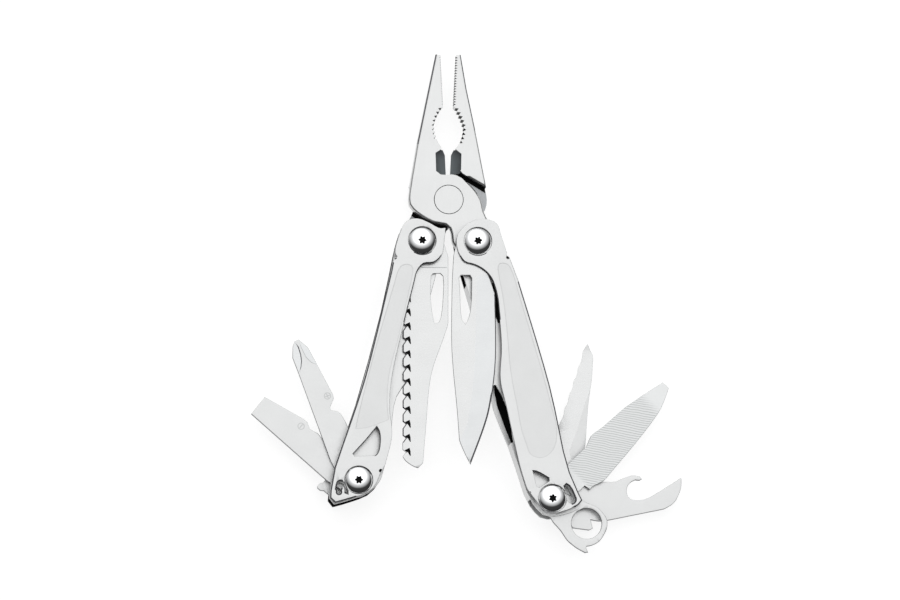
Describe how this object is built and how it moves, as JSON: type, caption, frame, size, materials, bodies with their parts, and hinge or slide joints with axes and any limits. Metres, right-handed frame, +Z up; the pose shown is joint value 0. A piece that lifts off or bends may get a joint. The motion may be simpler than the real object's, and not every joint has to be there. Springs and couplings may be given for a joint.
{
  "type": "folding multi tool",
  "caption": "Folding pocket multi tool: a needle-nose pliers head on two channel handles that hold blades and small tools fanned out on screws.",
  "frame": {"origin": "under the middle of the whole tool, on the surface that it lies on", "axes": "+Z up through the front face of the tool, which lies flat on its back; +Y towards the jaw tips; +X to the right of the front face"},
  "size_m": [0.136, 0.1592, 0.0158],
  "materials": {
    "frame_steel": "satin stainless steel",
    "plate_steel": "bead-blasted stainless steel with polished edges",
    "blade_steel": "finely ground stainless steel",
    "tool_steel": "satin stainless steel",
    "polished_steel": "polished stainless steel",
    "spring_steel": "dark satin spring steel"
  },
  "bodies": {
    "pliers_head": {"front_jaw": "frame_steel", "pliers_rivet": "polished_steel"},
    "rear_jaw_body": {"rear_jaw": "frame_steel"},
    "right_handle": {"right_back_tang_washer": "spring_steel", "right_blade_washer": "spring_steel", "right_bottom_nut": "polished_steel", "right_bottom_screw": "polished_steel", "right_channel": "frame_steel", "right_front_plate": "plate_steel", "right_front_tang_washer": "spring_steel", "right_slot_spacer": "frame_steel", "right_stack_washer": "spring_steel", "right_tool_spring": "spring_steel", "right_top_nut": "polished_steel", "right_top_screw": "polished_steel"},
    "left_handle": {"left_back_tang_washer": "spring_steel", "left_blade_washer": "spring_steel", "left_bottom_nut": "polished_steel", "left_bottom_screw": "polished_steel", "left_channel": "frame_steel", "left_front_plate": "plate_steel", "left_front_tang_washer": "spring_steel", "left_slot_spacer": "frame_steel", "left_stack_washer": "spring_steel", "left_tool_spring": "spring_steel", "left_top_nut": "polished_steel", "left_top_screw": "polished_steel"},
    "knife": {"knife_blade": "blade_steel"},
    "saw": {"saw_blade": "blade_steel"},
    "phillips_tool": {"phillips_driver": "tool_steel"},
    "flat_tool": {"flat_driver": "tool_steel"},
    "small_tool": {"small_driver": "tool_steel"},
    "file_tool": {"metal_file": "tool_steel"},
    "can_tool": {"can_opener": "tool_steel"},
    "lanyard_tool": {"lanyard_ring": "tool_steel"},
    "serrated_tool": {"serrated_blade": "blade_steel"}
  },
  "joints": [
    {"name": "pliers_pivot", "type": "hinge", "parent": "pliers_head", "child": "rear_jaw_body", "pos_m": [-0.00603, 0.03233, 0.006], "axis": [0, 0, 1], "range_deg": [-20, 5]},
    {"name": "right_handle_fold", "type": "hinge", "parent": "pliers_head", "child": "right_handle", "pos_m": [0.00277, 0.01822, 0.006], "axis": [0, 0, 1], "range_deg": [0, 165.5]},
    {"name": "left_handle_fold", "type": "hinge", "parent": "rear_jaw_body", "child": "left_handle", "pos_m": [-0.01483, 0.01822, 0.006], "axis": [0, 0, -1], "range_deg": [0, 167]},
    {"name": "knife_pivot", "type": "hinge", "parent": "right_handle", "child": "knife", "pos_m": [0.00277, 0.01822, 0.006], "axis": [0, 0, 1], "range_deg": [-8, 16]},
    {"name": "saw_pivot", "type": "hinge", "parent": "left_handle", "child": "saw", "pos_m": [-0.01483, 0.01822, 0.006], "axis": [0, 0, -1], "range_deg": [-8, 14.6]},
    {"name": "phillips_pivot", "type": "hinge", "parent": "left_handle", "child": "phillips_tool", "pos_m": [-0.03464, -0.05784, 0.006], "axis": [0, 0, 1], "range_deg": [-38, 142]},
    {"name": "flat_driver_pivot", "type": "hinge", "parent": "left_handle", "child": "flat_tool", "pos_m": [-0.03464, -0.05784, 0.006], "axis": [0, 0, 1], "range_deg": [-67, 113]},
    {"name": "small_driver_pivot", "type": "hinge", "parent": "left_handle", "child": "small_tool", "pos_m": [-0.03464, -0.05784, 0.006], "axis": [0, 0, 1], "range_deg": [-109.9, 70.1]},
    {"name": "serrated_pivot", "type": "hinge", "parent": "right_handle", "child": "serrated_tool", "pos_m": [0.02616, -0.06308, 0.006], "axis": [0, 0, -1], "range_deg": [-29.9, 150]},
    {"name": "file_pivot", "type": "hinge", "parent": "right_handle", "child": "file_tool", "pos_m": [0.02616, -0.06308, 0.006], "axis": [0, 0, -1], "range_deg": [-60.8, 119]},
    {"name": "opener_pivot", "type": "hinge", "parent": "right_handle", "child": "can_tool", "pos_m": [0.02616, -0.06308, 0.006], "axis": [0, 0, -1], "range_deg": [-98, 82]},
    {"name": "ring_pivot", "type": "hinge", "parent": "right_handle", "child": "lanyard_tool", "pos_m": [0.02616, -0.06308, 0.006], "axis": [0, 0, -1], "range_deg": [-125, 41]}
  ]
}
